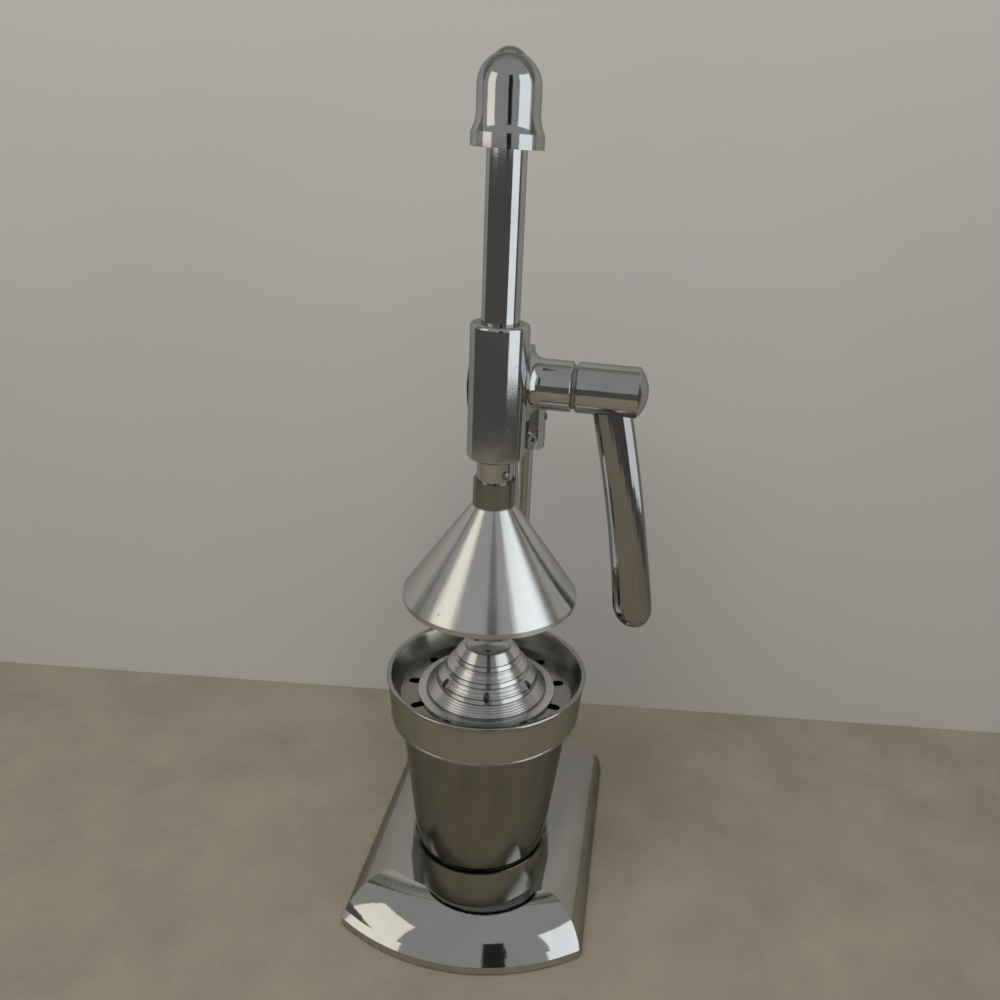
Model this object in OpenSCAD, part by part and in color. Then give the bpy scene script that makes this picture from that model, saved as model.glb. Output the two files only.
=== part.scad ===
// Lever citrus press: a rack and pinion lowers a hollow cone over a reamer, strainer and cup.
// Design places are measured from the plunger's axis at ground level: +X is the lever's side,
// -Y the front. Every part is then shifted so that the origin is the middle of the footprint.

/* [Base] */
// Full width of the base
base_w = 138; // [134:1:150]
// How far the base's middle lies to the left of the plunger's axis
base_shift = 2.6; // [0:0.1:3]
// From the plunger's axis to the front lip
base_front = 65.6; // [63:0.2:70]
// From the plunger's axis to the rear edge
base_rear = 115.2; // [110:0.2:122]
// Height of the base's flat top
base_h = 24.5; // [23:0.5:28]
// Wall of the base casting
base_wall = 4; // [3:0.5:5]
// Height of the cup ring above the base's top
ring_h = 20.5; // [17:0.5:24]

/* [Column] */
// Diameter of the column
column_d = 18; // [16:0.5:20]
// From the plunger's axis back to the column's axis
column_back = 77; // [76:0.5:84]

/* [Cup and strainer] */
// Height of the cup
cup_h = 100; // [85:1:120]
// Radius of the cup at its rim
cup_rim_r = 47.5; // [46:0.1:48]
// Radius of the cup above its rounded foot
cup_low_r = 37.6; // [36.4:0.1:38.2]
// How far the strainer's rolled rim stands out past the cup's rim
strainer_over = 6.25; // [5.5:0.05:7.5]
// Height of the strainer's rim above the cup's rim
strainer_h = 14; // [12:0.5:17]
// Thickness of the cup's and strainer's sheet
sheet_t = 1.2; // [0.8:0.1:1.5]

/* [Reamer] */
// Height of the reamer
reamer_h = 29.3; // [26:0.1:34]
// Radius of the reamer's flat top
reamer_top_r = 13; // [11:0.1:13.5]

/* [Plunger] */
// Diameter of the rack rod
rod_d = 18; // [17:0.1:19]
// Radius of the press cone at its rim
cone_r = 45.2; // [43:0.1:45.6]
// Height of the press cone
cone_h = 51.7; // [46:0.1:56]
// Gap from the strainer's floor up to the cone's rim with the plunger up
fruit_gap = 58.6; // [57:0.1:75]
// Length of bare rod above the sleeve with the plunger up
rod_reach = 75; // [65:1:90]
// Height of the rod's cap
cap_h = 36.3; // [32:0.1:42]

/* [Head] */
// Height of the sleeve
sleeve_h = 66; // [60:0.5:74]
// Radius of the sleeve
sleeve_r = 14.1; // [13.6:0.1:15]

/* [Rack and pinion] */
// Gear module
gear_m = 2; // [1.9:0.05:2.1]
// Teeth on the pinion
pinion_teeth = 12; // [12:1:13]

/* [Lever] */
// Radius of the lever's hub and of the shaft boss
hub_r = 12.6; // [12:0.1:13.6]
// Length of the hub's straight barrel
hub_l = 30.5; // [28:0.5:36]
// Length of the lever from the hub's axis to its tip
lever_l = 131; // [115:1:145]
// Width of the handle
handle_w = 20; // [17:0.5:22]
// Thickness of the handle
handle_t = 13; // [11:0.5:15]

/* [Hidden] */
$fn = 96;
eps = 0.5;                                // how far a cut runs past the face it opens
full_turn = 360;
press_angle = 25;                         // pressure angle of the rack and pinion
spill_turn = -80.4;                       // one drain slot of the reamer and strainer lies this way

// Base
foot_gap = 1.5;                           // the rubber feet hold the base this far off the ground
side_drop = 2.1;                          // the side arcs are centred this far below ground level
side_r = base_h + side_drop;
side_x = base_w / 2 - sqrt(side_r * side_r - pow(side_drop + foot_gap, 2));
fan_r = 121.2;                            // radius of the front lip in plan
fan_y = fan_r - base_front;
crown_r = 52;                             // the fan face rolls down on this radius
crown_in = 41.2;                          // the roll's centre lies this far behind the front lip
crown_x = fan_r - crown_in;
crown_top = base_h + 1;
lip_h = 6.3;
lip_slope = 0.85;
corner_r = 5;
corner_over = 0.04;                       // the corner's arc crosses the faces instead of only touching them
boss_r = 13.5;
boss_top = base_h + 7.5;
nut_seat = base_h - base_wall - 4;
post_r = 8.5;
ring_flare = 1.5;                         // the cup ring is this much wider at its foot
ring_wall = 3;                            // wall of the cup ring below its seat
post_in_side = 19.5;                      // the posts stand this far in from the base's sides,
post_in_front = 37;                       // its front and its rear
post_in_rear = 18;
post_x = base_w / 2 - post_in_side;
post_front = post_in_front - base_front;
post_rear = base_rear - post_in_rear;
foot_r = 8;
foot_h = 5;
foot_taper = 0.8;
stem_r = 3;
stem_h = 6;
washer_t = 1.6;
washer_r = 12;
nut_h = 8;
nut_r = 10.4;                             // to the nut's corners
column_tail = 4;                          // the column's threaded end stops this far off the ground
column_cap_h = 4;
column_cap_over = 1.5;                    // how far the cap reaches past the column

// Cup, ring and strainer
ring_top = base_h + ring_h;
seat_z = ring_top - 5.5;                  // floor of the recess that the cup stands in
ring_r = cup_low_r + 1.6;
recess_r = cup_low_r + 0.5;
cup_top = seat_z + cup_h;
cup_low_z = seat_z + 8.5;
floor_z = cup_top + sheet_t;              // top of the strainer's floor
strainer_top = cup_top + strainer_h;
bead_r = 1.4;
band_drop = 9.7;
ledge_r = cup_rim_r - 1.1;
strainer_r = cup_rim_r + strainer_over;   // outer radius of the strainer's rolled rim
drain_n = 11;
drain_from = 38.4;                        // the drain slots lie between these radii
drain_to = 40.8;
drain_half = 2.4;
cup_foot_r = cup_low_r - 2.6;
cup_foot_h = 5;
cup_edge = 1.2;                           // bevel under the cup
band_top_r = strainer_r - 0.55;           // the strainer's outer band, at its rim and at its lower edge
band_low_r = strainer_r - 2.45;
hem_r = 0.95;                             // the band's lower edge is rolled to this radius
hem_in = 0.45;                            // its middle lies this far inside the band's surface

// Reamer: radius of each rib's upper groove and its depth below the top
rib_places = [[16.8, 5.2], [21.4, 12.3], [26.1, 19]];
rib_w = 0.9;                              // a rib's lower groove is this much further out
rib_drop = 2.5;                           // and this much lower
groove = 0.6;
groove_half = 0.35;
flange_r = 37;
flange_h = 1.5;
edge_r = 32.3;                            // the edge where the reamer's slope ends
edge_h = 3.4;
skirt_r = 32.8;
skirt_h = 3;
reamer_t = 2;
hollow_r = 23.6;                          // the hollow under the reamer narrows from here
hollow_h = 4.5;
hollow_top_r = 13;
hollow_top_drop = 6;
juice_hole_r = 25.05;
juice_hole = 1.75;
top_hole_r = 7.2;
top_hole = 1.2;

// Plunger, from the cone's rim up to the top of the cap
cone_z = floor_z + fruit_gap;
cone_top = cone_z + cone_h;
cone_t = 2.5;
joint_gap = 0.5;                          // the rod and collar stand this far above the cone's slope
collar_r = 10.5;
collar_h = 13;
sleeve_gap = 11.5;                        // bare rod between the collar and the sleeve
collar_top = cone_top + joint_gap + collar_h;
sleeve_z = collar_top + sleeve_gap;
sleeve_top = sleeve_z + sleeve_h;
cap_z = sleeve_top + rod_reach;
rod_r = rod_d / 2;
rod_top = cap_z + cap_h - 8.3;
cap_skirt_r = 16.1;
cap_skirt_h = 6;
cap_neck_r = 13.9;
cap_flare_h = 8;
cap_flare_w = cap_skirt_r - cap_neck_r;
cap_flare_r = (cap_flare_h * cap_flare_h + cap_flare_w * cap_flare_w) / (2 * cap_flare_w);
cap_dome_z = cap_h - 12.3;
button_h = 3.1;
button_r = 6.5;
cap_screw_r = 2.5;
cap_thread = 8;                           // how deep the cap's screw enters the rod
cone_screw_r = 3;
cone_thread = 12;                         // how deep the cone's screw enters the rod
cone_head_h = 3;
cone_head_r = 5.5;
cone_lip = 2.7;                           // height of the cone's upright lip
run_fit = 0.05;                           // radial play of the rod in the sleeve and shaft in bushes

// Rack and pinion
pitch_r = gear_m * pinion_teeth / 2;
rack_line = rod_r - gear_m;               // the rack's pitch line, behind the rod's axis
rack_tip = rack_line + 0.8 * gear_m;
rack_root = rack_line - 1.05 * gear_m;
tooth_pitch = PI * gear_m;
tooth_thin = 0.15;                        // each tooth is this much thinner than half the pitch
gear_y = rack_line + pitch_r;
gear_z = sleeve_z + sleeve_h / 2 + 0.5;
tip_r = pitch_r + 0.9 * gear_m;
root_r = pitch_r - gear_m;
base_circle_r = pitch_r * cos(press_angle);
travel = 48;                              // stroke of the plunger
rack_below = 3;                           // tooth spaces below and above the gear's height
rack_above = ceil((travel + 12) / tooth_pitch);
gear_half = 7;
gear_gap_left = 1;                        // space beside the pinion before each bush
gear_gap_right = 0.6;

// Head
chamber_r = tip_r + 1;
drum_r = chamber_r + 4.2;
drum_left = -(sleeve_r - 0.4);            // the drum ends inside the sleeve's width
drum_right = sleeve_r - 1;
neck_r = 6.4;                             // fillet from the drum to the shaft boss
boss_end = 34.2;
boss_edge = 0.8;                          // bevel of the boss and of the lever's hub
sleeve_edge = 2;                          // the sleeve's ends are rounded by this radius
shaft_r = 6;
bush_r = 8;
clamp_r = column_d / 2 + 6.2;
clamp_z = sleeve_z - 19;
clamp_top = gear_z - 4.5;
web_half = 7.5;
web_front_z = sleeve_z + 4;
web_dip_z = sleeve_z - 5.6;               // lowest point of the web's underside near the sleeve
screw_turn = -50;                         // direction of the clamp screw from the column's axis
pin_turn = -44;                           // direction of the rod's stop pin
pin_drop = 7;                             // the stop pin lies this far below the sleeve
pin_r = 1.5;
pin_head_r = 2.3;
screw_z = clamp_z + 7;
grub_z = clamp_z + (clamp_top - clamp_z) * 3 / 8;
pocket_half = 3.6;
pocket_wall = 3;                          // between the column and the pocket's back
pocket_h = 6;                             // from the clamp screw up to the pocket's arch
clamp_screw_r = 2;
clamp_hole = 20;                          // length of the holes for the clamp screw and the grub screw
clamp_thread = 4;
clamp_head_r = 3;
clamp_head_h = 3;
grub_l = 6.8;
cover_t = 1.5;
cover_left = drum_left - cover_t;
cover_clear = 0.9;                        // gap between the cover's plate and the sleeve
spigot = 2;                               // how deep the cover reaches into the chamber
bush_wall = 2.5;                          // wall of the cover around its bush
screw_circle = (chamber_r + drum_r) / 2;
cover_screw_r = 1.2;
cover_screw_l = 8;
cover_screw_turns = [90, 210, 330];
cover_head_h = 0.9;
cover_head_r = 2.1;
ring_gap = 0.2;                           // the retaining ring sits this far off the cover
ring_t = 0.8;
ring_wide = 2.2;                          // how far the retaining ring stands out from the shaft
ring_groove = 0.8;

// Lever
hub_x = 36;
hub_end = hub_x + hub_l;
dome_h = 5.1;
dome_r = (hub_r * hub_r + dome_h * dome_h) / (2 * dome_h);
shaft_end = hub_end - 4;
hub_cut = 1;                              // the dome's cut starts this far inside the hub's end
hub_pin_x = hub_x + 8;
hub_pin_r = 2.2;
hub_pin_deep = 2;                         // how far the hub's pin enters the shaft
handle_off = 0.75;
handle_x = hub_x + hub_l / 2 + handle_off;     // the handle's centre line at the hub's axis
handle_splay = 0.25;
handle_bow = 0.0005;
bulb_gain = 1.1;                          // the handle's lower end is this much wider
tip_l = 14;                               // length of the rounded tip
handle_start = 9.5;
handle_steps = 34;
handle_sides = 36;
oval_power = 2.3;
tang_r = 4.5;
tang_top = 7.5;

// Middle of the footprint, which becomes the origin
handle_reach = max([for (i = [0:handle_steps]) handle_mid(handle_s(i)) + handle_half_w(handle_s(i))]);
origin_x = (handle_reach - base_w / 2 - base_shift) / 2;
origin_y = (base_rear - base_front) / 2;

steel = [0.72, 0.72, 0.72];
chrome = [0.62, 0.63, 0.64];
alloy = [0.80, 0.80, 0.78];
bronze = [0.66, 0.50, 0.28];
rubber = [0.08, 0.08, 0.08];

// The handle's level number i as a distance below the hub's axis, closer together near the tip
function handle_s(i) = handle_start + (lever_l - handle_start) * sin(90 * i / handle_steps);
// Centre line and half sizes of the handle at distance s below the hub's axis
function handle_mid(s) = handle_x + handle_splay * s - handle_bow * s * s;
function tip_part(s) = max(0, (s - (lever_l - tip_l)) / tip_l);
function closing(s) = sqrt(max(0, 1 - pow(tip_part(s), 2)));
function bulb(s) = bulb_gain * pow(max(0, s - lever_l / 2) / (lever_l / 2), 2);
function handle_half_w(s) = (handle_w / 2 + bulb(s)) * closing(s);
function handle_half_t(s) = (handle_t / 2 + bulb(s) / 2) * closing(s);
function signed_power(v, p) = sign(v) * pow(abs(v), p);
function handle_ring(s) = [
  for (k = [0:handle_sides - 1])
    let (a = 360 * k / handle_sides)
    [
      handle_mid(s) + handle_half_w(s) * signed_power(cos(a), 2 / oval_power),
      gear_y + handle_half_t(s) * signed_power(sin(a), 2 / oval_power),
      gear_z - s
    ]
];

// Involute flank: angle in degrees that the flank has turned away from its start, at radius r
function roll(r) = sqrt(max(0, pow(r / base_circle_r, 2) - 1));
function involute_turn(r) = roll(r) * 180 / PI - atan(roll(r));
// Half of the tooth's angle at radius r
tooth_half = (tooth_pitch / 2 - tooth_thin) / (2 * pitch_r) * 180 / PI;
function flank_turn(r) = tooth_half + involute_turn(pitch_r) - involute_turn(max(r, base_circle_r));
function polar(r, a) = [r * cos(a), r * sin(a)];

// Moves a part from the design's places to the final origin and gives it its colour
module part(colour) {
  color(colour) translate([-origin_x, -origin_y, 0]) children();
}

// A bar along +X from x1 to x2 with the gear's axis as its middle
module along_shaft(x1, x2, r) {
  translate([x1, gear_y, gear_z]) rotate([0, 90, 0]) cylinder(h = x2 - x1, r = r);
}

// Turns a profile of radius and distance along X about the gear's axis
module turned_on_shaft() {
  translate([0, gear_y, gear_z]) rotate([0, 90, 0]) rotate_extrude() children();
}

// The loaf-shaped section of the base, drawn across its width
module loaf(inset) {
  translate([0, base_rear + eps, 0]) rotate([90, 0, 0])
    linear_extrude(base_rear + base_front + 2 * eps)
      intersection() {
        union() {
          for (side = [-1, 1]) translate([side * side_x, -side_drop]) circle(side_r - inset);
          translate([-side_x, -side_drop]) square([2 * side_x, side_r - inset]);
        }
        translate([-base_w, foot_gap]) square([2 * base_w, base_h]);
      }
}

// The round front of the base, with its face rolling down to the lip
module fan(inset) {
  translate([0, fan_y, 0]) rotate_extrude($fn = 180)
    union() {
      square([crown_x, crown_top - inset]);
      intersection() {
        translate([crown_x, crown_top - crown_r]) circle(crown_r - inset, $fn = 180);
        square([fan_r - inset, crown_top]);
      }
      if (inset == 0)
        polygon([
          [crown_x, 0], [fan_r, 0], [fan_r, lip_h],
          [fan_r - 3.4, lip_h + 3.4 * lip_slope], [crown_x, lip_h]
        ]);
    }
}

// What is cut off the two front corners to round them
module front_corners() {
  reach = fan_r - corner_r + corner_over;
  mid_x = base_w / 2 - corner_r + corner_over;
  mid_y = fan_y - sqrt(reach * reach - mid_x * mid_x);
  way = [mid_x, mid_y - fan_y] / reach;
  past = 4 * corner_r;
  for (side = [0, 1]) mirror([side, 0, 0])
    translate([mid_x, mid_y, -eps]) linear_extrude(base_h + 3)
      difference() {
        polygon([[0, 0], [past, 0], [past, -past], way * past]);
        circle(corner_r);
      }
}

module base_block(inset) {
  intersection() {
    loaf(inset);
    fan(inset);
    translate([-base_w, -base_front - eps, foot_gap])
      cube([2 * base_w, base_front + base_rear + eps - inset, base_h + 2]);
  }
}

module foot_places() {
  for (x = [-post_x, post_x]) for (y = [post_front, post_rear])
    translate([x - base_shift, y, 0]) children();
}

module base_shell() part(chrome) difference() {
  union() {
    translate([-base_shift, 0, 0]) difference() {
      base_block(0);
      front_corners();
      translate([0, 0, -eps]) base_block(base_wall);
    }
    intersection() {
      translate([-base_shift, 0, 0]) base_block(1);
      foot_places() translate([0, 0, foot_h]) cylinder(h = base_h, r = post_r);
    }
    translate([0, column_back, nut_seat]) cylinder(h = boss_top - nut_seat, r = boss_r);
  }
  translate([0, 0, foot_gap]) cylinder(h = base_h, r = ring_r + ring_flare);
  translate([0, column_back, base_h]) cylinder(h = boss_top, r = column_d / 2);
  translate([0, column_back, 0]) cylinder(h = base_h + eps, r = shaft_r);
  foot_places() translate([0, 0, foot_h - eps]) cylinder(h = stem_h + eps, r = stem_r);
}

// Ring in the base's top, with the seat and the recess that the cup stands in
module cup_ring() part(chrome) difference() {
  union() {
    translate([0, 0, base_h - base_wall]) cylinder(h = base_wall, r = ring_r + ring_flare);
    translate([0, 0, base_h]) cylinder(h = ring_h, r1 = ring_r + ring_flare, r2 = ring_r);
  }
  translate([0, 0, seat_z]) cylinder(h = ring_h, r = recess_r);
  translate([0, 0, foot_gap]) cylinder(h = seat_z - base_wall - foot_gap, r = ring_r - ring_wall);
}

module foot(x, y) part(rubber) translate([x - base_shift, y, 0]) {
  cylinder(h = foot_h, r1 = foot_r - foot_taper, r2 = foot_r);
  translate([0, 0, foot_h - eps]) cylinder(h = stem_h, r = stem_r);
}
module foot_front_left() foot(-post_x, post_front);
module foot_front_right() foot(post_x, post_front);
module foot_rear_left() foot(-post_x, post_rear);
module foot_rear_right() foot(post_x, post_rear);

module column() part(chrome) translate([0, column_back, 0]) {
  translate([0, 0, base_h]) cylinder(h = clamp_top - base_h, r = column_d / 2);
  translate([0, 0, column_tail]) cylinder(h = base_h - column_tail + eps, r = shaft_r);
}

module column_washer() part(steel) translate([0, column_back, nut_seat - washer_t])
  difference() {
    cylinder(h = washer_t, r = washer_r);
    translate([0, 0, -eps]) cylinder(h = washer_t + 2 * eps, r = shaft_r);
  }

module column_nut() part(steel) translate([0, column_back, nut_seat - washer_t - nut_h])
  difference() {
    cylinder(h = nut_h, r = nut_r, $fn = 6);
    translate([0, 0, -eps]) cylinder(h = nut_h + 2 * eps, r = shaft_r);
  }

module column_cap() part(chrome) translate([0, column_back, clamp_top])
  rotate_extrude() intersection() {
    translate([0, column_cap_h - dome_r]) circle(dome_r);
    square([column_d / 2 + column_cap_over, column_cap_h]);
  }

// Sleeve, pinion drum, shaft boss, web and clamp boss before anything is drilled
module head_block() {
  translate([0, 0, sleeve_z]) rotate_extrude()
    union() {
      square([sleeve_r - sleeve_edge, sleeve_h]);
      translate([0, sleeve_edge]) square([sleeve_r, sleeve_h - 2 * sleeve_edge]);
      for (z = [sleeve_edge, sleeve_h - sleeve_edge])
        translate([sleeve_r - sleeve_edge, z]) circle(sleeve_edge);
    }
  along_shaft(drum_left, drum_right, drum_r);
  turned_on_shaft() difference() {
    translate([0, drum_right - eps]) square([drum_r, neck_r + eps]);
    translate([hub_r + neck_r, drum_right + neck_r]) circle(neck_r);
    translate([hub_r + neck_r, drum_right - 1]) square([drum_r, neck_r + 2]);
  }
  along_shaft(drum_right, boss_end - boss_edge, hub_r);
  translate([boss_end - boss_edge, gear_y, gear_z]) rotate([0, 90, 0])
    cylinder(h = boss_edge, r1 = hub_r, r2 = hub_r - boss_edge);
  rotate([90, 0, 90]) translate([0, 0, -web_half]) linear_extrude(2 * web_half)
    polygon([
      [rod_r, web_front_z], [gear_y, web_dip_z], [column_back - clamp_r + 2, clamp_z],
      [column_back, clamp_z], [column_back, clamp_top], [gear_y, clamp_top]
    ]);
  translate([0, column_back, clamp_z]) cylinder(h = clamp_top - clamp_z, r = clamp_r);
}

// Arch-topped pocket in the clamp boss, open at the bottom, with its back this far from the column's axis
module screw_pocket(back) {
  arch_z = screw_z + pocket_h;
  translate([0, column_back, 0]) rotate([0, 0, screw_turn]) translate([back, 0, 0])
    union() {
      translate([0, 0, arch_z]) rotate([0, 90, 0]) cylinder(h = clamp_r, r = pocket_half);
      translate([0, -pocket_half, clamp_z - eps])
        cube([clamp_r, 2 * pocket_half, arch_z - clamp_z + eps]);
    }
}

module head_casting() part(chrome) difference() {
  head_block();
  translate([0, 0, sleeve_z - 1]) cylinder(h = sleeve_h + 2, r = rod_r + run_fit);
  along_shaft(drum_left - eps, gear_half + gear_gap_right, chamber_r);
  along_shaft(gear_half, boss_end + eps, bush_r);
  translate([0, column_back, clamp_z - 10]) cylinder(h = clamp_top, r = column_d / 2);
  screw_pocket(column_d / 2 + pocket_wall);
  translate([0, column_back, screw_z]) rotate([0, 90, screw_turn]) cylinder(h = clamp_hole, r = clamp_screw_r);
  translate([0, column_back, grub_z]) rotate([0, 90, 0]) cylinder(h = clamp_hole, r = clamp_screw_r);
  cover_screw_places() cylinder(h = cover_screw_l, r = cover_screw_r);
}

module clamp_screw() part(steel) translate([0, column_back, screw_z]) rotate([0, 90, screw_turn])
  translate([0, 0, column_d / 2]) difference() {
    union() {
      cylinder(h = clamp_thread, r = clamp_screw_r);
      translate([0, 0, clamp_thread - 1]) cylinder(h = clamp_head_h, r = clamp_head_r);
    }
    translate([0, 0, clamp_thread + 0.5]) cylinder(h = clamp_head_h, r = clamp_head_r / 2, $fn = 6);
  }

module clamp_grub() part(steel) translate([column_d / 2, column_back, grub_z]) rotate([0, 90, 0])
  difference() {
    cylinder(h = grub_l, r = clamp_screw_r);
    translate([0, 0, grub_l - clamp_screw_r]) cylinder(h = grub_l, r = clamp_screw_r / 2, $fn = 6);
  }

module cover_screw_places() {
  for (turn = cover_screw_turns) cover_screw_place(turn) children();
}

// Puts a screw, drawn along +Z from its head's underside, into the cover at one of its three places
module cover_screw_place(turn) {
  translate([cover_left, gear_y, gear_z]) rotate([0, 90, 0]) rotate([0, 0, turn])
    translate([screw_circle, 0, 0]) children();
}

module gear_cover() part(chrome) difference() {
  union() {
    difference() {
      along_shaft(cover_left, drum_left, drum_r);
      translate([0, 0, sleeve_z]) cylinder(h = sleeve_h, r = sleeve_r + cover_clear);
    }
    along_shaft(drum_left, drum_left + spigot, chamber_r);
    along_shaft(drum_left, -gear_half - gear_gap_left, bush_r + bush_wall);
  }
  along_shaft(cover_left - eps, 0, bush_r);
  cover_screw_places() translate([0, 0, -eps]) cylinder(h = cover_screw_l, r = cover_screw_r);
}

module cover_screw(turn) part(steel) cover_screw_place(turn) difference() {
  union() {
    cylinder(h = cover_screw_l, r = cover_screw_r);
    translate([0, 0, -cover_head_h]) cylinder(h = cover_head_h, r1 = cover_head_r - 0.5, r2 = cover_head_r);
  }
  translate([-cover_head_r, -0.3, -2 * cover_head_h])
    cube([2 * cover_head_r, 0.6, cover_head_h + 0.5]);
}
module cover_screw_1() cover_screw(cover_screw_turns[0]);
module cover_screw_2() cover_screw(cover_screw_turns[1]);
module cover_screw_3() cover_screw(cover_screw_turns[2]);

module bush(x1, x2) part(bronze) difference() {
  along_shaft(x1, x2, bush_r);
  along_shaft(x1 - eps, x2 + eps, shaft_r + run_fit);
}
module bush_left() bush(cover_left, -gear_half - gear_gap_left);
module bush_right() bush(gear_half + gear_gap_right, boss_end);

module pinion_shaft() part(steel) difference() {
  along_shaft(cover_left - ring_gap - 2 * ring_t, shaft_end, shaft_r);
  difference() {
    ring_slot(shaft_r + 1);
    along_shaft(cover_left - 3, cover_left, shaft_r - ring_groove);
  }
  hub_pin_body();
}

// The slice of a bar of this radius that the retaining ring fills
module ring_slot(r) {
  along_shaft(cover_left - ring_gap - ring_t, cover_left - ring_gap, r);
}

module retaining_ring() part(steel) difference() {
  ring_slot(shaft_r + ring_wide);
  along_shaft(cover_left - 3, cover_left, shaft_r - ring_groove);
  translate([cover_left - 2, gear_y - 1.5, gear_z - 2 * shaft_r]) cube([3, 3, 2 * shaft_r]);
}

// The pinion's outline: root, two flanks and tip of each tooth, the first tooth facing the rack
module pinion_outline() {
  radii = [for (k = [0:5]) base_circle_r + (tip_r - base_circle_r) * k / 5];
  polygon([
    for (tooth = [0:pinion_teeth - 1])
      let (mid = full_turn * tooth / pinion_teeth)
      each concat(
        [polar(root_r, mid - flank_turn(root_r))],
        [for (k = [0:5]) polar(radii[k], mid - flank_turn(radii[k]))],
        [for (k = [5:-1:0]) polar(radii[k], mid + flank_turn(radii[k]))],
        [polar(root_r, mid + flank_turn(root_r))]
      )
  ]);
}

module pinion() part(steel) difference() {
  translate([-gear_half, gear_y, gear_z]) rotate([90, 0, 90])
    linear_extrude(2 * gear_half) rotate([0, 0, 180]) pinion_outline();
  along_shaft(-gear_half - eps, gear_half + eps, shaft_r);
}

module hub_washer() part(steel) difference() {
  along_shaft(boss_end + 0.1, hub_x, hub_r - 1.6);
  along_shaft(boss_end - eps, hub_x + eps, shaft_r);
}

module lever_hub() part(chrome) difference() {
  turned_on_shaft() difference() {
    polygon([
      [0, hub_x], [hub_r - boss_edge, hub_x], [hub_r, hub_x + boss_edge],
      [hub_r, hub_end + 2 * dome_h], [0, hub_end + 2 * dome_h]
    ]);
    difference() {
      translate([0, hub_end - hub_cut]) square([hub_r + 1, 3 * dome_h]);
      translate([0, hub_end + dome_h - dome_r]) circle(dome_r);
    }
  }
  along_shaft(hub_x - eps, shaft_end, shaft_r);
  tang();
  hub_pin_body();
}

module hub_pin_body() {
  translate([hub_pin_x, gear_y + shaft_r - hub_pin_deep, gear_z]) rotate([-90, 0, 0])
    cylinder(h = hub_r - shaft_r + hub_pin_deep + eps, r = hub_pin_r);
}

module hub_pin() part(steel) intersection() {
  hub_pin_body();
  along_shaft(hub_x, hub_end, hub_r);
}

// Round tang that fixes the handle in the hub
module tang() {
  tang_low = hub_r + 4;
  translate([handle_mid(hub_r), gear_y, gear_z - tang_low]) rotate([0, 0, 30])
    cylinder(h = tang_low - tang_top, r = tang_r);
}

// The handle's smooth oval grip, swept down from inside the hub
module grip() {
  rings = [for (i = [0:handle_steps - 1]) handle_ring(handle_s(i))];
  n = handle_sides;
  last = (handle_steps - 1) * n;
  tip = [handle_mid(lever_l), gear_y, gear_z - lever_l];
  polyhedron(
    points = concat([for (ring = rings) each ring], [tip]),
    faces = concat(
      [[for (k = [n - 1:-1:0]) k]],
      [for (i = [0:handle_steps - 2]) for (k = [0:n - 1])
        [i * n + (k + 1) % n, (i + 1) * n + (k + 1) % n, (i + 1) * n + k, i * n + k]],
      [for (k = [0:n - 1]) [last + (k + 1) % n, last + n, last + k]]
    )
  );
}

module lever_handle() part(chrome) union() {
  difference() {
    grip();
    along_shaft(hub_x - 5, hub_end + dome_h, hub_r);
  }
  tang();
}

// One tooth space of the rack, open to the back
module rack_space() {
  half = tooth_pitch / 4 + tooth_thin / 2;
  slope = tan(press_angle);
  mouth = rod_r + 1;
  root_half = half - (rack_line - rack_root) * slope;
  mouth_half = half + (mouth - rack_line) * slope;
  translate([-mouth, 0, 0]) rotate([90, 0, 90]) linear_extrude(2 * mouth)
    polygon([[rack_root, -root_half], [mouth, -mouth_half], [mouth, mouth_half], [rack_root, root_half]]);
}

module rack_rod() part(steel) difference() {
  translate([0, 0, cone_top + joint_gap]) cylinder(h = rod_top - cone_top - joint_gap, r = rod_r);
  for (k = [-rack_below:rack_above]) translate([0, 0, gear_z + k * tooth_pitch]) rack_space();
  translate([-rod_r, rack_tip, gear_z - (rack_below + 0.5) * tooth_pitch])
    cube([rod_d, rod_r, (rack_below + rack_above + 1) * tooth_pitch]);
  stop_pin_place() cylinder(h = rod_d, r = pin_r);
  translate([0, 0, rod_top - cap_thread]) cylinder(h = 2 * cap_thread, r = cap_screw_r);
  translate([0, 0, cone_top - eps]) cylinder(h = cone_thread + 1 + eps, r = cone_screw_r);
}

// Turns what is drawn along +Z to the stop pin's place and direction
module stop_pin_place() {
  rotate([0, 0, pin_turn]) translate([0, 0, sleeve_z - pin_drop]) rotate([0, 90, 0]) children();
}

module stop_pin() part(steel) stop_pin_place() union() {
  cylinder(h = rod_r + 0.5, r = pin_r);
  translate([0, 0, rod_r + 0.1]) intersection() {
    translate([0, 0, -0.9]) sphere(pin_head_r);
    cylinder(h = pin_head_r, r = pin_head_r);
  }
}

// Half section of the cap: a flared skirt, a slim neck and a dome
module cap_outline() {
  union() {
    difference() {
      square([cap_skirt_r, cap_skirt_h + cap_flare_h]);
      translate([cap_neck_r + cap_flare_r, cap_skirt_h + cap_flare_h]) circle(cap_flare_r);
    }
    translate([0, cap_skirt_h]) square([cap_neck_r, cap_dome_z - cap_skirt_h]);
    intersection() {
      translate([0, cap_dome_z]) circle(cap_neck_r);
      square([cap_neck_r, cap_h]);
    }
  }
}

module rod_cap() part(chrome) translate([0, 0, cap_z]) difference() {
  rotate_extrude() cap_outline();
  translate([0, 0, -eps]) cylinder(h = rod_top - cap_z + eps, r = rod_r);
  cylinder(h = cap_h + 5, r = cap_screw_r);
}

module cap_screw() part(chrome) union() {
  ball_r = (button_r * button_r + button_h * button_h) / (2 * button_h);
  cap_top = cap_z + cap_h;
  translate([0, 0, rod_top - cap_thread])
    cylinder(h = cap_top - rod_top + cap_thread + eps, r = cap_screw_r);
  translate([0, 0, cap_top]) intersection() {
    cylinder(h = button_h, r = button_r);
    translate([0, 0, button_h - ball_r]) sphere(ball_r);
  }
}

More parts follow.
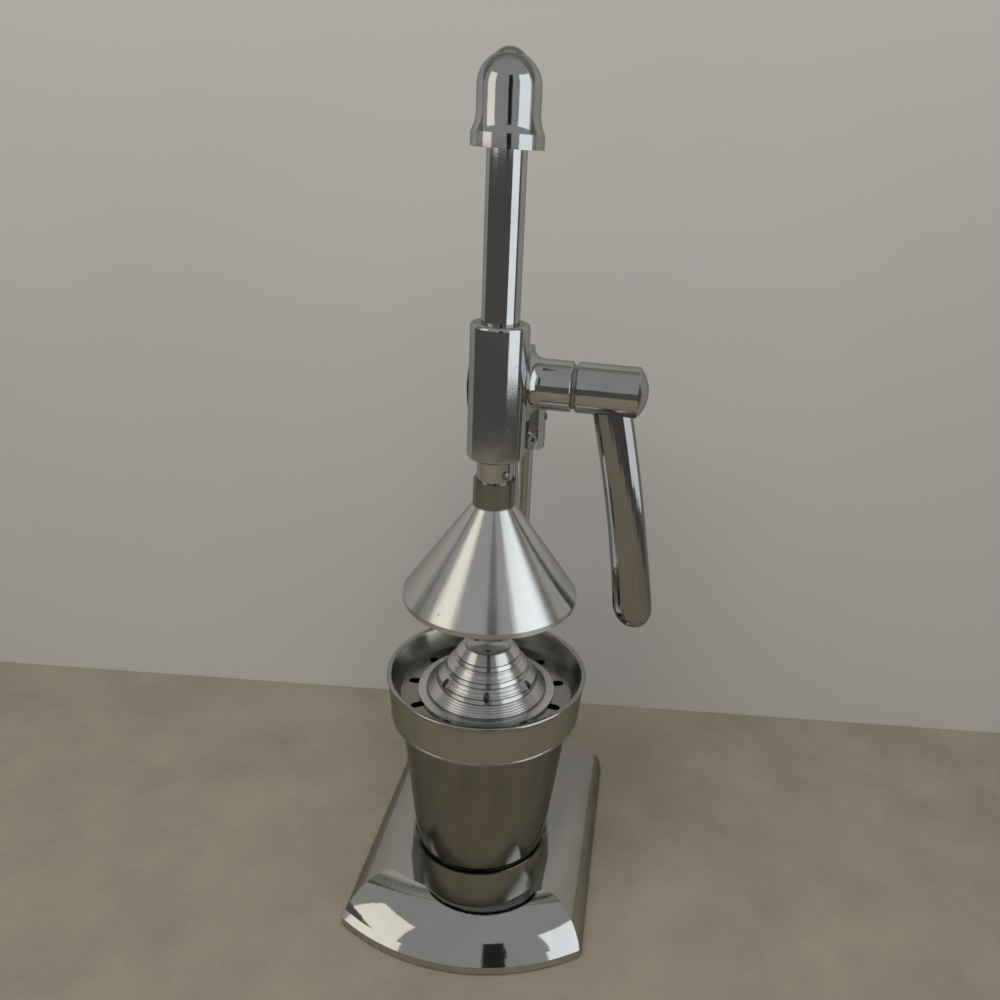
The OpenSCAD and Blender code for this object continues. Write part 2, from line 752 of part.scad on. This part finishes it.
module cone_collar() part(steel) translate([0, 0, cone_top + joint_gap]) difference() {
  cylinder(h = collar_h, r = collar_r);
  translate([0, 0, -eps]) cylinder(h = collar_h + 1, r = rod_r);
}

module press_cone() part(alloy) translate([0, 0, cone_z]) difference() {
  land_r = collar_r + 0.4;
  rotate_extrude()
    polygon([
      [0, cone_h + joint_gap], [land_r, cone_h + joint_gap], [land_r, cone_h],
      [cone_r, cone_lip], [cone_r, 0], [cone_r - cone_t, 0], [cone_r - cone_t, cone_lip - 0.9],
      [8, cone_h - cone_t], [0, cone_h - cone_t]
    ]);
  translate([0, 0, -eps]) cylinder(h = cone_h + 2, r = cone_screw_r);
}

module cone_screw() part(steel) translate([0, 0, cone_top - cone_t]) difference() {
  union() {
    cylinder(h = cone_t + cone_thread, r = cone_screw_r);
    translate([0, 0, -cone_head_h]) cylinder(h = cone_head_h, r1 = cone_head_r - 0.5, r2 = cone_head_r);
  }
  translate([0, 0, -cone_head_h - 1]) cylinder(h = cone_head_h - 0.5, r = 2, $fn = 6);
}

module juice_cup() part(steel) rotate_extrude() difference() {
  cup_outline(0);
  cup_outline(sheet_t);
}

// Half section of the cup's outside, or of its inside when inset by the sheet's thickness
module cup_outline(inset) {
  polygon([
    [0, seat_z + inset], [cup_foot_r - inset, seat_z + inset],
    [cup_foot_r + cup_edge - inset, seat_z + cup_edge + inset],
    [cup_foot_r + cup_edge + 0.2 - inset, seat_z + cup_foot_h], [cup_low_r - inset, cup_low_z],
    [cup_rim_r - inset, cup_top], [cup_rim_r - inset, cup_top + inset], [0, cup_top + inset]
  ]);
}

module strainer_bowl() part(steel) difference() {
  bead_z = strainer_top - bead_r;
  low_z = cup_top - band_drop;
  rotate_extrude() union() {
    polygon([
      [band_low_r, low_z], [band_top_r, bead_z],
      [band_top_r - sheet_t, bead_z], [band_low_r - sheet_t, low_z]
    ]);
    translate([strainer_r - bead_r, bead_z]) circle(bead_r);
    translate([band_low_r - hem_in, low_z]) circle(hem_r);
    polygon([
      [skirt_r, cup_top], [ledge_r + 1, cup_top], [strainer_r - bead_r, bead_z],
      [strainer_r - 2 * bead_r, bead_z], [ledge_r, floor_z], [skirt_r, floor_z]
    ]);
  }
  for (k = [0:drain_n - 1]) rotate([0, 0, spill_turn + k * full_turn / drain_n])
    translate([0, 0, cup_top - 1]) drain_slot();
}

module drain_slot() {
  translate([drain_from, -drain_half, 0]) cube([drain_to - drain_from, 2 * drain_half, sheet_t + 2]);
  for (r = [drain_from, drain_to]) translate([r, 0, 0]) cylinder(h = sheet_t + 2, r = drain_half);
}

// A rib of the reamer: a groove, a proud hoop and a second groove
function rib(place) =
  let (r1 = place[0], z1 = reamer_h - place[1], r2 = r1 + rib_w, z2 = z1 - rib_drop)
  [
    [r1, z1 + groove_half], [r1 - groove, z1 + 0.1], [r1 - groove, z1 - groove_half],
    [r1 + 0.2, z1 - groove_half], [r2 + 0.3, z2 + groove_half],
    [r2 - groove, z2 + groove_half], [r2 - groove, z2 - groove_half], [r2 + 0.1, z2 - groove_half]
  ];

module reamer() part(alloy) translate([0, 0, floor_z]) difference() {
  rotate_extrude() polygon(concat(
    [
      [0, reamer_h - 1], [reamer_top_r - 1.5, reamer_h - 1], [reamer_top_r - 0.7, reamer_h],
      [reamer_top_r, reamer_h - 0.1]
    ],
    [for (place = rib_places) each rib(place)],
    [
      [edge_r, edge_h], [edge_r + 0.2, edge_h - 0.7], [skirt_r, flange_h], [flange_r, flange_h],
      [flange_r, 0], [skirt_r, 0], [skirt_r, -skirt_h],
      [skirt_r - reamer_t, -skirt_h], [skirt_r - reamer_t, 0.5], [hollow_r, hollow_h],
      [hollow_top_r, reamer_h - hollow_top_drop], [hollow_top_r - 4, reamer_h - 4], [0, reamer_h - 4]
    ]
  ));
  for (k = [0:5]) rotate([0, 0, spill_turn + 60 * k]) translate([juice_hole_r, 0, 1])
    cylinder(h = reamer_h / 2, r = juice_hole);
  for (k = [0:2]) rotate([0, 0, spill_turn + 120 * k]) translate([top_hole_r, 0, 0])
    cylinder(h = reamer_h + 1, r = top_hole);
}

base_shell();
cup_ring();
foot_front_left();
foot_front_right();
foot_rear_left();
foot_rear_right();
column();
column_washer();
column_nut();
column_cap();
head_casting();
clamp_screw();
clamp_grub();
gear_cover();
cover_screw_1();
cover_screw_2();
cover_screw_3();
bush_left();
bush_right();
pinion_shaft();
pinion();
retaining_ring();
hub_washer();
lever_hub();
hub_pin();
lever_handle();
rack_rod();
rod_cap();
cap_screw();
stop_pin();
cone_collar();
press_cone();
cone_screw();
juice_cup();
strainer_bowl();
reamer();
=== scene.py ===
"""Lever citrus press: materials, floor, wall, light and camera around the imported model."""
import math

import bpy
from mathutils import Matrix, Vector


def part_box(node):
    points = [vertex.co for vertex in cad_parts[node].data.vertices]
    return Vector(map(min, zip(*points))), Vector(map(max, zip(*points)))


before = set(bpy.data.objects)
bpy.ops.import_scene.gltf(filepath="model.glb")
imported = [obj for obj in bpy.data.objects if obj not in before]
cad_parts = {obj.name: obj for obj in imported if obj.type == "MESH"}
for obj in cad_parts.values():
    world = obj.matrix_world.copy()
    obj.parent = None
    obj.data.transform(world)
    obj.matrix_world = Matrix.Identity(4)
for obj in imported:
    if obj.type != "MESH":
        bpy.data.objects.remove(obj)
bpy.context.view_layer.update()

# The plunger's axis, from which the camera and the turned surfaces are placed
ROD_LOW, ROD_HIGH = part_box("rack_rod")
AXIS = Vector(((ROD_LOW.x + ROD_HIGH.x) / 2, (ROD_LOW.y + ROD_HIGH.y) / 2, 0))

# Camera, as seen from the plunger's axis at floor level (metres and degrees)
CAMERA_PLACE = Vector((0.0681, -0.4029, 0.4244))
CAMERA_TURN = 9.60          # how far round the object the camera's base line is turned
CAMERA_YAW = 5.11
CAMERA_PITCH = 22.52
CAMERA_ROLL = 4.15
IMAGE_SIZE = 1000
FOCAL_PIXELS = 881
PRINCIPAL_X = 566.5
SENSOR_MM = 36

# Wall behind the object
WALL_DISTANCE = 0.190
WALL_TURN = 4.6
ROOM_SIZE = 4.0

WALL_COLOUR = (0.44, 0.43, 0.40)
# Painted shade: the wall's colour grows darker between these heights, which lie above the picture
WALL_SHADE_FROM, WALL_SHADE_TO = 0.56, 0.72
WALL_SHADE = 0.35
FLOOR_COLOUR = (0.235, 0.205, 0.155)
MATT_SHEEN = 0.1            # specular level of the wall and the floor


# ---------------------------------------------------------------- camera

def make_camera():
    turn, yaw, pitch, roll = (math.radians(v) for v in (CAMERA_TURN, CAMERA_YAW, CAMERA_PITCH, CAMERA_ROLL))
    ahead = Vector((math.sin(yaw) * math.cos(pitch), math.cos(yaw) * math.cos(pitch), -math.sin(pitch)))
    level = Vector((math.cos(yaw), -math.sin(yaw), 0))
    over = level.cross(ahead)
    right = level * math.cos(roll) + over * math.sin(roll)
    up = over * math.cos(roll) - level * math.sin(roll)
    axes = Matrix((right, up, -ahead)).transposed()
    spin = Matrix.Rotation(turn, 3, "Z")
    data = bpy.data.cameras.new("camera")
    data.sensor_width = SENSOR_MM
    data.lens = SENSOR_MM * FOCAL_PIXELS / IMAGE_SIZE
    data.shift_x = 0.5 - PRINCIPAL_X / IMAGE_SIZE
    camera = bpy.data.objects.new("camera", data)
    camera.matrix_world = Matrix.Translation(AXIS + CAMERA_PLACE) @ (spin @ axes).to_4x4()
    bpy.context.scene.collection.objects.link(camera)
    bpy.context.scene.camera = camera


# ---------------------------------------------------------------- node helpers

class Nodes:
    """Small helper that adds shader nodes and joins them."""

    def __init__(self, tree):
        self.tree = tree
        tree.nodes.clear()

    def add(self, kind, **settings):
        node = self.tree.nodes.new(kind)
        for name, value in settings.items():
            setattr(node, name, value)
        return node

    def feed(self, node, **inputs):
        for name, value in inputs.items():
            socket = node.inputs[int(name[1:])] if name[0] == "_" else node.inputs[name.replace("_", " ")]
            if isinstance(value, bpy.types.NodeSocket):
                self.tree.links.new(value, socket)
            else:
                socket.default_value = value
        return node

    def math(self, operation, a, b=0.0, c=0.0):
        node = self.add("ShaderNodeMath", operation=operation)
        return self.feed(node, _0=a, _1=b, _2=c).outputs[0]

    def vector(self, operation, a, b=(0, 0, 0)):
        node = self.add("ShaderNodeVectorMath", operation=operation)
        return self.feed(node, _0=a, _1=b).outputs["Vector"]

    def noise(self, place, scale, detail=3.0, roughness=0.5):
        node = self.add("ShaderNodeTexNoise")
        return self.feed(node, Vector=place, Scale=scale, Detail=detail, Roughness=roughness).outputs["Fac"]

    def ramp(self, value, stops):
        """A colour ramp through (place, level or colour) stops."""
        node = self.add("ShaderNodeValToRGB")
        points = node.color_ramp.elements
        while len(points) < len(stops):
            points.new(0.5)
        for point, (place, level) in zip(points, stops):
            point.position = place
            colour = level if isinstance(level, tuple) else (level, level, level)
            point.color = (*colour, 1)
        self.tree.links.new(value, node.inputs["Fac"])
        return node.outputs["Color"]

    def blend(self, amount, a, b):
        """Colour a where amount is 0 and colour b where it is 1."""
        node = self.add("ShaderNodeMix", data_type="RGBA")
        self.tree.links.new(amount, node.inputs[0])
        for place, colour in ((6, a), (7, b)):      # the node's two colour sockets
            if isinstance(colour, bpy.types.NodeSocket):
                self.tree.links.new(colour, node.inputs[place])
            else:
                node.inputs[place].default_value = (*colour, 1)
        return node.outputs[2]

    def bump(self, height, strength, distance, normal=None):
        node = self.add("ShaderNodeBump")
        self.feed(node, Height=height, Strength=strength, Distance=distance)
        if normal is not None:
            self.tree.links.new(normal, node.inputs["Normal"])
        return node.outputs["Normal"]


def scaled(colour, share):
    """The same hue, lighter or darker."""
    return tuple(c * share for c in colour)


def new_material(name):
    material = bpy.data.materials.new(name)
    material.use_nodes = True
    nodes = Nodes(material.node_tree)
    shader = nodes.add("ShaderNodeBsdfPrincipled")
    out = nodes.add("ShaderNodeOutputMaterial")
    nodes.feed(out, Surface=shader.outputs["BSDF"])
    place = nodes.add("ShaderNodeTexCoord").outputs["Object"]
    return material, nodes, shader, place


# How much of the light metal reflects where it is seen edge on, and the turn that draws
# highlights out across the lathe marks instead of along them
EDGE_TINT = (0.56, 0.58, 0.59, 1)
ACROSS_MARKS = 0.25
UPRIGHT = (0, 0, 1)


def turned_direction(nodes, place, centre):
    """The direction of the lathe marks on a surface turned about the upright axis through centre."""
    outward = nodes.vector("SUBTRACT", place, centre)
    return nodes.vector("NORMALIZE", nodes.vector("CROSS_PRODUCT", UPRIGHT, outward))


def turned_radius(nodes, place, centre):
    """Distance from the vertical axis through centre, and height."""
    parts = nodes.feed(nodes.add("ShaderNodeSeparateXYZ"), Vector=nodes.vector("SUBTRACT", place, centre))
    across = nodes.math("MULTIPLY", parts.outputs["X"], parts.outputs["X"])
    along = nodes.math("MULTIPLY", parts.outputs["Y"], parts.outputs["Y"])
    return nodes.math("SQRT", nodes.math("ADD", across, along)), parts.outputs["Z"]


# ---------------------------------------------------------------- materials

PIT_DEPTH = 0.55            # how much a pit hides the plating's colour
PIT_ROUGHNESS = 0.25        # how much rougher a pit is than the plating


def chrome(name, colour, smooth, haze, waviness, wear=0.0):
    """Polished plating: faint waves of the casting, haze and small pits."""
    material, nodes, shader, place = new_material(name)
    cloud = nodes.noise(place, scale=38.0, detail=4.0, roughness=0.6)
    speck = nodes.noise(place, scale=900.0, detail=2.0)
    waves = nodes.noise(place, scale=26.0, detail=2.0)
    stain = nodes.ramp(cloud, [(0.35, scaled(colour, 0.90)), (0.62, colour)])
    rough = nodes.math("MULTIPLY_ADD", cloud, haze, smooth)
    if wear:
        grain = nodes.noise(place, scale=260.0, detail=5.0, roughness=0.72)
        pits = nodes.math("GREATER_THAN", grain, 1 - wear)
        stain = nodes.blend(nodes.math("MULTIPLY", pits, PIT_DEPTH), stain, scaled(colour, 0.35))
        rough = nodes.math("MULTIPLY_ADD", pits, PIT_ROUGHNESS, rough)
    normal = nodes.bump(waves, strength=waviness, distance=0.004)
    normal = nodes.bump(speck, strength=0.02, distance=0.0004, normal=normal)
    nodes.feed(
        shader, Base_Color=stain, Metallic=1.0, Roughness=rough, Normal=normal, Specular_Tint=EDGE_TINT)
    return material


ALUMINIUM_DULL = (0.74, 0.735, 0.715)
ALUMINIUM_BRIGHT = (0.86, 0.85, 0.83)
ALUMINIUM_NICK = (0.40, 0.39, 0.38)
ALUMINIUM_PAINTED_SHADE = (0.22, 0.20, 0.18)        # painted shade on faces that look down
RING_RISE = 0.7             # how far the rings move on with height, against the radius
LATHE_PULL = 0.9            # how strongly the lathe marks draw highlights out


def turned_aluminium(name, centre, ring_step, marks):
    """Bright aluminium turned on a lathe, with fine rings that draw highlights out along the slope."""
    material, nodes, shader, place = new_material(name)
    radius, height = turned_radius(nodes, place, centre)
    path = nodes.math("ADD", radius, nodes.math("MULTIPLY", height, RING_RISE))
    rings = nodes.add("ShaderNodeTexWave", wave_type="BANDS", bands_direction="X")
    lookup = nodes.feed(nodes.add("ShaderNodeCombineXYZ"), X=path)
    nodes.feed(rings, Vector=lookup.outputs[0], Scale=1 / ring_step, Distortion=0.6, Detail=2.0)
    nicks = nodes.noise(place, scale=420.0, detail=4.0, roughness=0.65)
    cloud = nodes.noise(place, scale=30.0)
    tint = nodes.ramp(cloud, [(0.3, ALUMINIUM_DULL), (0.7, ALUMINIUM_BRIGHT)])
    tint = nodes.blend(nodes.math("GREATER_THAN", nicks, 0.70), tint, ALUMINIUM_NICK)
    outward = nodes.add("ShaderNodeNewGeometry").outputs["Normal"]
    facing = nodes.feed(nodes.add("ShaderNodeSeparateXYZ"), Vector=outward)
    # painted shade: faces that look down get a much darker colour, and they are also rougher
    under = nodes.math("LESS_THAN", facing.outputs["Z"], -0.1)
    tint = nodes.blend(under, tint, ALUMINIUM_PAINTED_SHADE)
    rough = nodes.math("MULTIPLY_ADD", cloud, 0.10, 0.20)
    rough = nodes.math("MULTIPLY_ADD", under, 0.35, rough)
    normal = nodes.bump(rings.outputs["Fac"], strength=marks, distance=0.00025)
    normal = nodes.bump(nicks, strength=0.06, distance=0.0006, normal=normal)
    shader.inputs["Anisotropic"].default_value = LATHE_PULL
    shader.inputs["Anisotropic Rotation"].default_value = ACROSS_MARKS
    tangent = turned_direction(nodes, place, centre)
    nodes.feed(
        shader, Base_Color=tint, Metallic=1.0, Roughness=rough, Normal=normal, Tangent=tangent,
        Specular_Tint=EDGE_TINT)
    return material


BRUSHING_SCALE = (12.0, 12.0, 900.0)        # long around, fine up the sheet
INSIDE_DARKENING = 0.35           # how much a darker tone hides the sheet's own colour inside the radius


def rolled_stainless(name, centre, light, smooth, pull, inside=0.0):
    """Spun stainless sheet, brushed around, with finger haze and a darker colour inside a radius."""
    material, nodes, shader, place = new_material(name)
    radius = turned_radius(nodes, place, centre)[0]
    stretched = nodes.vector("MULTIPLY", place, BRUSHING_SCALE)
    brushing = nodes.noise(stretched, scale=1.0, roughness=0.6)
    cloud = nodes.noise(place, scale=24.0, detail=4.0, roughness=0.6)
    waves = nodes.noise(place, scale=18.0, detail=2.0)
    tint = nodes.ramp(cloud, [(0.32, scaled(light, 0.82)), (0.68, light)])
    darker_inside = nodes.math("MULTIPLY", nodes.math("LESS_THAN", radius, inside), INSIDE_DARKENING)
    tint = nodes.blend(darker_inside, tint, scaled(light, 0.3))
    rough = nodes.math("MULTIPLY_ADD", cloud, 0.12, smooth)
    rough = nodes.math("MULTIPLY_ADD", brushing, 0.08, rough)
    normal = nodes.bump(brushing, strength=0.05, distance=0.0003)
    normal = nodes.bump(waves, strength=0.12, distance=0.003, normal=normal)
    shader.inputs["Anisotropic"].default_value = pull
    shader.inputs["Anisotropic Rotation"].default_value = ACROSS_MARKS
    tangent = turned_direction(nodes, place, centre)
    nodes.feed(
        shader, Base_Color=tint, Metallic=1.0, Roughness=rough, Normal=normal, Tangent=tangent,
        Specular_Tint=EDGE_TINT)
    return material


def machined_steel(name, colour, smooth):
    """Plain machined metal with a fine grain."""
    material, nodes, shader, place = new_material(name)
    grain = nodes.noise(place, scale=500.0, detail=4.0, roughness=0.6)
    tint = nodes.ramp(grain, [(0.3, scaled(colour, 0.8)), (0.7, colour)])
    rough = nodes.math("MULTIPLY_ADD", grain, 0.2, smooth)
    normal = nodes.bump(grain, strength=0.1, distance=0.0003)
    nodes.feed(shader, Base_Color=tint, Metallic=1.0, Roughness=rough, Normal=normal)
    return material


def moulded_rubber(name):
    """Black rubber with a fine grain."""
    material, nodes, shader, place = new_material(name)
    grain = nodes.noise(place, scale=700.0)
    tint = nodes.ramp(grain, [(0.3, 0.012), (0.7, 0.03)])
    normal = nodes.bump(grain, strength=0.3, distance=0.0003)
    nodes.feed(shader, Base_Color=tint, Roughness=0.75, Normal=normal)
    return material


BOWL_INSIDE = 0.0505        # the strainer's colour is darker inside this radius


def dress_nodes():
    """Give every node of the frame its material."""
    bright = (0.60, 0.60, 0.595)
    casting = chrome("cast_chrome", bright, 0.05, 0.08, 0.10)
    worn = chrome("worn_chrome", bright, 0.06, 0.08, 0.08, 0.34)
    base = chrome("base_chrome", (0.60, 0.60, 0.58), 0.03, 0.05, 0.05)
    turned = chrome("bar_chrome", bright, 0.05, 0.05, 0.0)
    handle = chrome("handle_chrome", (0.42, 0.41, 0.41), 0.05, 0.08, 0.10)
    steel = machined_steel("machined_steel", (0.42, 0.41, 0.40), 0.25)
    bronze = machined_steel("bearing_bronze", (0.55, 0.38, 0.18), 0.3)
    cone = turned_aluminium("cone_aluminium", AXIS, 0.0011, 0.25)
    reamer = turned_aluminium("reamer_aluminium", AXIS, 0.0016, 0.2)
    # painted shade: the ring's chrome is darkened to stand for the darker floor that it mirrors, and the
    # collar shares it
    ring = chrome("ring_chrome", (0.34, 0.34, 0.31), 0.16, 0.12, 0.10)
    # the cup's colour is its steel tone darkened to stand for the shaded floor that it mirrors: painted
    # shade
    cup = rolled_stainless("cup_stainless", AXIS, (0.33, 0.32, 0.30), 0.02, 0.3)
    bowl = rolled_stainless("bowl_stainless", AXIS, (0.55, 0.54, 0.51), 0.10, 0.5, BOWL_INSIDE)
    rubber = moulded_rubber("rubber")
    looks = {
        "base_shell": base, "cup_ring": ring, "column": turned, "column_cap": turned, "head_casting": worn,
        "gear_cover": casting, "lever_hub": casting, "lever_handle": handle, "rack_rod": turned,
        "rod_cap": casting, "cap_screw": turned, "cone_collar": ring, "press_cone": cone,
        "reamer": reamer, "juice_cup": cup, "strainer_bowl": bowl, "bush_left": bronze,
        "bush_right": bronze,
    }
    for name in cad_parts:
        material = rubber if name.startswith("foot_") else looks.get(name, steel)
        mesh = bpy.data.objects[name].data
        mesh.materials.clear()
        mesh.materials.append(material)


# ---------------------------------------------------------------- floor, wall and light

def stage_plane(name, corners, material):
    mesh = bpy.data.meshes.new(name)
    mesh.from_pydata(corners, [], [(0, 1, 2, 3)])
    mesh.materials.append(material)
    plane = bpy.data.objects.new(name, mesh)
    bpy.context.scene.collection.objects.link(plane)


def floor_material():
    """Short soft pile in pale brown."""
    material, nodes, shader, place = new_material("floor")
    patch = nodes.noise(place, scale=14.0, detail=5.0, roughness=0.65)
    pile = nodes.noise(place, scale=600.0, roughness=0.7)
    tint = nodes.ramp(patch, [(0.3, scaled(FLOOR_COLOUR, 0.86)), (0.7, scaled(FLOOR_COLOUR, 1.12))])
    normal = nodes.bump(pile, strength=0.5, distance=0.001)
    nodes.feed(shader, Base_Color=tint, Roughness=0.95, Normal=normal)
    shader.inputs["Specular IOR Level"].default_value = MATT_SHEEN
    return material


def wall_material():
    """Matt paint, seen from its front only so that it never hides the object from behind."""
    material, nodes, shader, place = new_material("wall")
    cloud = nodes.noise(place, scale=3.0)
    tint = nodes.ramp(cloud, [(0.3, scaled(WALL_COLOUR, 0.97)), (0.7, scaled(WALL_COLOUR, 1.03))])
    height = nodes.feed(nodes.add("ShaderNodeSeparateXYZ"), Vector=place).outputs["Z"]
    # painted shade: the wall's colour darkens between the shade heights
    painted_shade = nodes.ramp(height, [(WALL_SHADE_FROM, 1.0), (WALL_SHADE_TO, WALL_SHADE)])
    tint = nodes.vector("MULTIPLY", tint, painted_shade)
    nodes.feed(shader, Base_Color=tint, Roughness=0.9)
    shader.inputs["Specular IOR Level"].default_value = MATT_SHEEN
    paint = shader.outputs["BSDF"]
    clear = nodes.add("ShaderNodeBsdfTransparent").outputs["BSDF"]
    back = nodes.add("ShaderNodeNewGeometry").outputs["Backfacing"]
    mix = nodes.feed(nodes.add("ShaderNodeMixShader"), _0=back, _1=paint, _2=clear)
    out = next(n for n in nodes.tree.nodes if n.bl_idname == "ShaderNodeOutputMaterial")
    nodes.feed(out, Surface=mix.outputs["Shader"])
    return material


def make_stage():
    half = ROOM_SIZE / 2
    corners = [(-half, -half, 0), (half, -half, 0), (half, half, 0), (-half, half, 0)]
    stage_plane("floor", corners, floor_material())
    turn = Matrix.Rotation(math.radians(WALL_TURN), 3, "Z")
    foot = AXIS + turn @ Vector((0, WALL_DISTANCE, 0))
    side = turn @ Vector((half, 0, 0))
    top = Vector((0, 0, ROOM_SIZE / 2))
    stage_plane("wall", [foot - side, foot + side, foot + side + top, foot - side + top], wall_material())


# Plain studio panels round the object's front, which only the metal's reflections show. Each one stands
# between two turns (degrees to the right of the front) and two heights (metres) and has one even level.
PANEL_RADIUS = 0.80
PANEL_STEP = 4              # degrees that each flat strip of a panel spans
LAYER_GAP = 0.01            # a panel stands this much nearer than the one that it overlaps
NEUTRAL = (1.0, 0.985, 0.95)
WARM = (1.0, 0.96, 0.85)
COOL = (0.90, 0.96, 1.0)
PANELS = {
    "dark_skirt": {"turns": (-104, 104), "heights": (0.0, 0.4), "level": 0.09, "tint": NEUTRAL, "layer": 0},
    "left_softbox": {"turns": (-70, -40), "heights": (0.4, 1.0), "level": 1.1, "tint": WARM, "layer": 0},
    "right_softbox": {"turns": (45, 90), "heights": (0.1, 1.0), "level": 1.2, "tint": COOL, "layer": 1},
    "black_flag": {"turns": (7, 21), "heights": (0.4, 1.0), "level": 0.02, "tint": NEUTRAL, "layer": 0},
}


def reflected_only(obj):
    """Seen in the metal, but neither by the camera nor as a shadow."""
    obj.visible_camera = False
    obj.visible_shadow = False
    obj.visible_diffuse = False


def glowing(name, level, tint):
    """Material with one even glow."""
    material = bpy.data.materials.new(name)
    material.use_nodes = True
    nodes = Nodes(material.node_tree)
    shine = nodes.feed(nodes.add("ShaderNodeEmission"), Color=(*tint, 1), Strength=level)
    nodes.feed(nodes.add("ShaderNodeOutputMaterial"), Surface=shine.outputs[0])
    return material


def make_panel(name, turns, heights, level, tint, layer):
    """Upright curved panel, centred on the plunger's axis."""
    first, last = turns
    strips = math.ceil((last - first) / PANEL_STEP)
    radius = PANEL_RADIUS - layer * LAYER_GAP
    points, faces = [], []
    for strip in range(strips + 1):
        turn = math.radians(first + (last - first) * strip / strips)
        points += [(radius * math.sin(turn), -radius * math.cos(turn), height) for height in heights]
        if strip:
            low = 2 * strip
            faces.append((low - 2, low, low + 1, low - 1))
    mesh = bpy.data.meshes.new(name)
    mesh.from_pydata(points, [], faces)
    mesh.materials.append(glowing(name, level, tint))
    panel = bpy.data.objects.new(name, mesh)
    panel.location = AXIS
    bpy.context.scene.collection.objects.link(panel)
    reflected_only(panel)


def make_panels():
    for name, panel in PANELS.items():
        make_panel(name, **panel)


ROOM_LEVEL = 0.32


def make_room_light():
    """Plain even light from all round."""
    world = bpy.data.worlds.new("room")
    bpy.context.scene.world = world
    world.use_nodes = True
    nodes = Nodes(world.node_tree)
    room = nodes.feed(nodes.add("ShaderNodeBackground"), Color=(ROOM_LEVEL,) * 3 + (1,), Strength=1.0)
    nodes.feed(nodes.add("ShaderNodeOutputWorld"), Surface=room.outputs[0])


# Square softbox above and in front, from the plunger's axis at floor level (metres and watts)
SOFTBOX_PLACE = Vector((-0.10, -0.75, 1.45))
SOFTBOX_AIM = Vector((0, 0, 0.15))
SOFTBOX_SIDE = 1.6
SOFTBOX_POWER = 28


def make_softbox():
    data = bpy.data.lights.new("softbox", "AREA")
    data.size = SOFTBOX_SIDE
    data.energy = SOFTBOX_POWER
    lamp = bpy.data.objects.new("softbox", data)
    lamp.location = AXIS + SOFTBOX_PLACE
    lamp.rotation_euler = (SOFTBOX_AIM - SOFTBOX_PLACE).to_track_quat("-Z", "Y").to_euler()
    lamp.visible_glossy = False
    bpy.context.scene.collection.objects.link(lamp)


make_camera()
dress_nodes()
make_stage()
make_panels()
make_room_light()
make_softbox()

bpy.context.scene.view_settings.view_transform = "Standard"
